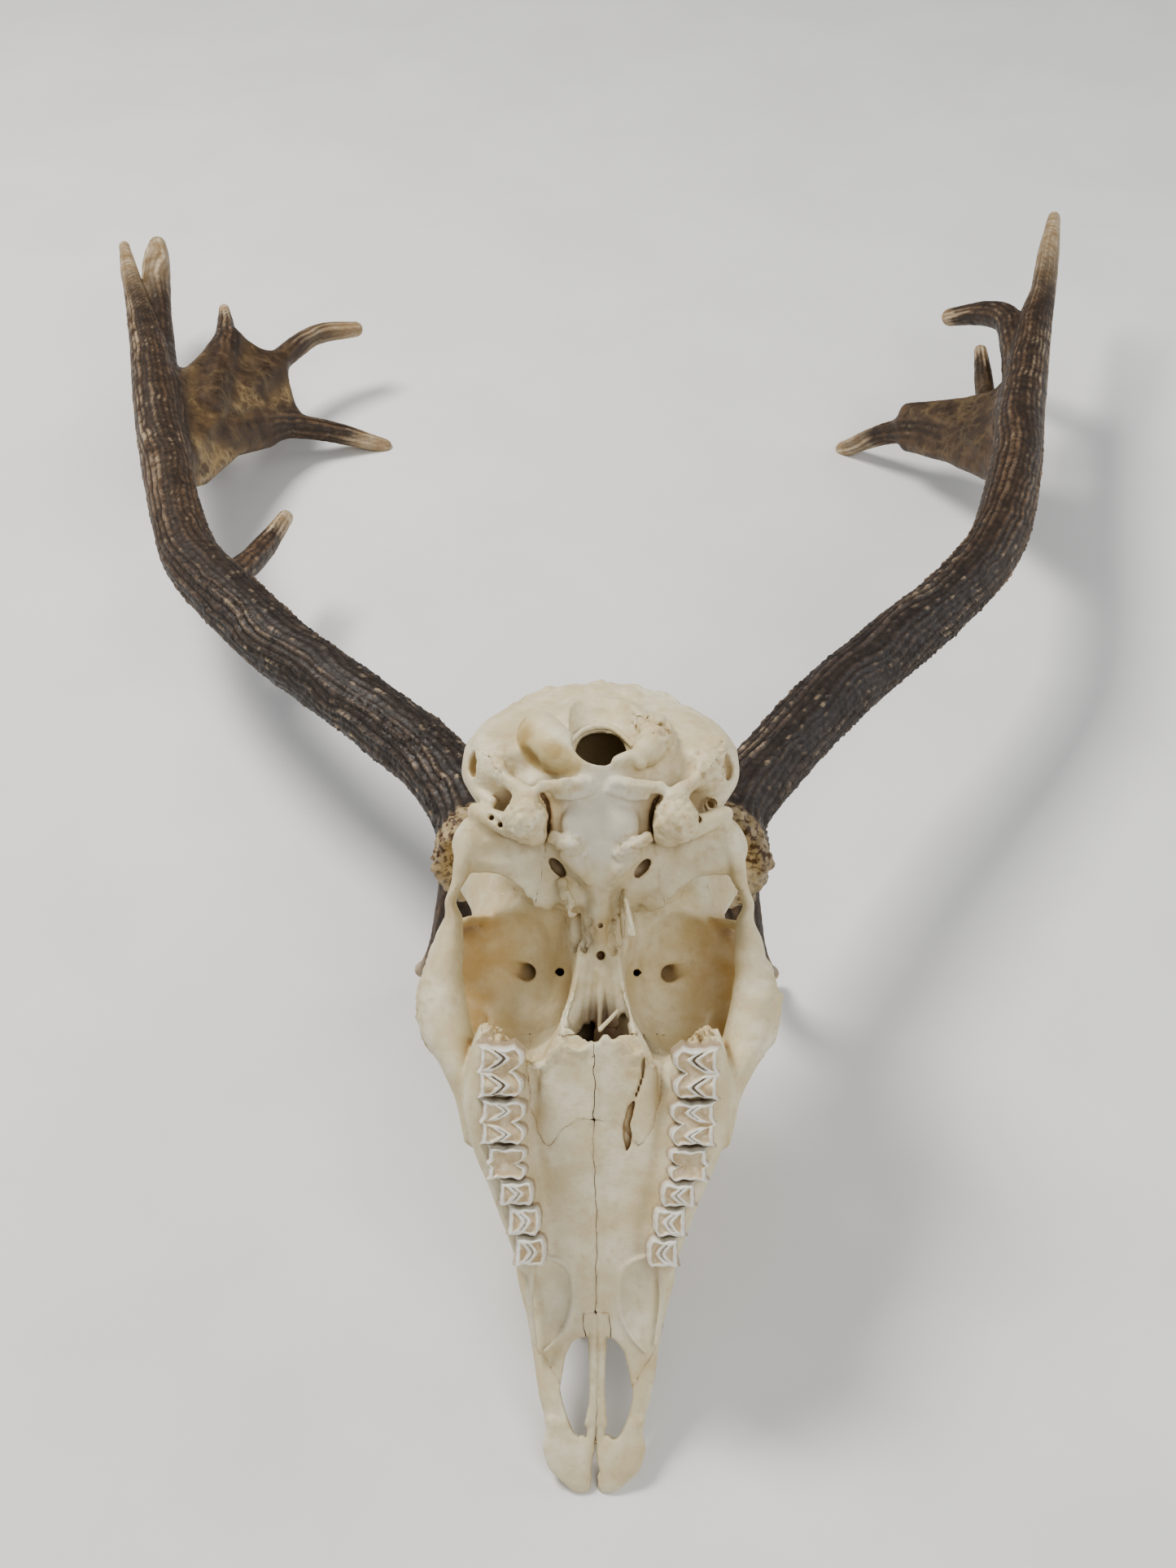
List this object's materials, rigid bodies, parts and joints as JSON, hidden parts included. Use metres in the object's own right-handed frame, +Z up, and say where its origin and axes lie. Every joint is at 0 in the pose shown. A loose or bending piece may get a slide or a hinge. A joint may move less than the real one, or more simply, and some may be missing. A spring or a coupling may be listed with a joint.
{
  "type": "fallow deer buck skull with antlers",
  "caption": "Life-size still model of a male fallow deer skull with palmate antlers and no lower jaw, lying palate up on its nose tips and antler tines.",
  "frame": {"origin": "bottom centre of the whole part's bounding box, on the floor it rests on", "axes": "+Z up, +Y from the nose tip back towards the antler tips, +X towards the animal's right side, which is the right of the picture"},
  "size_m": [0.5428, 0.7854, 0.1926],
  "materials": {
    "bone": "bleached ivory-white bone, matt to satin, cream inside the eye sockets and brown in cracks and sutures",
    "antler": "dark brown, ridged and pearled, matt with paler worn pearls",
    "tine": "brown fading to polished tan tips"
  },
  "bodies": {
    "root": {"beam_left": "antler", "beam_right": "antler", "brow_tine_left": "tine", "brow_tine_right": "tine", "frontal_left": "bone", "frontal_right": "bone", "lacrimal_left": "bone", "lacrimal_right": "bone", "maxilla_left": "bone", "maxilla_right": "bone", "nasal_left": "bone", "nasal_right": "bone", "occipital": "bone", "palatine_left": "bone", "palatine_right": "bone", "palm_left": "antler", "palm_right": "antler", "parietal": "bone", "premaxilla_left": "bone", "premaxilla_right": "bone", "sphenoid": "bone", "temporal_left": "bone", "temporal_right": "bone", "tine_a_left": "tine", "tine_a_right": "tine", "tine_b_left": "tine", "tine_b_right": "tine", "tine_c_left": "tine", "tine_c_right": "tine", "tine_d_left": "tine", "tine_e_left": "tine", "tine_e_right": "tine", "trez_tine_left": "tine", "zygomatic_left": "bone", "zygomatic_right": "bone"}
  },
  "joints": []
}
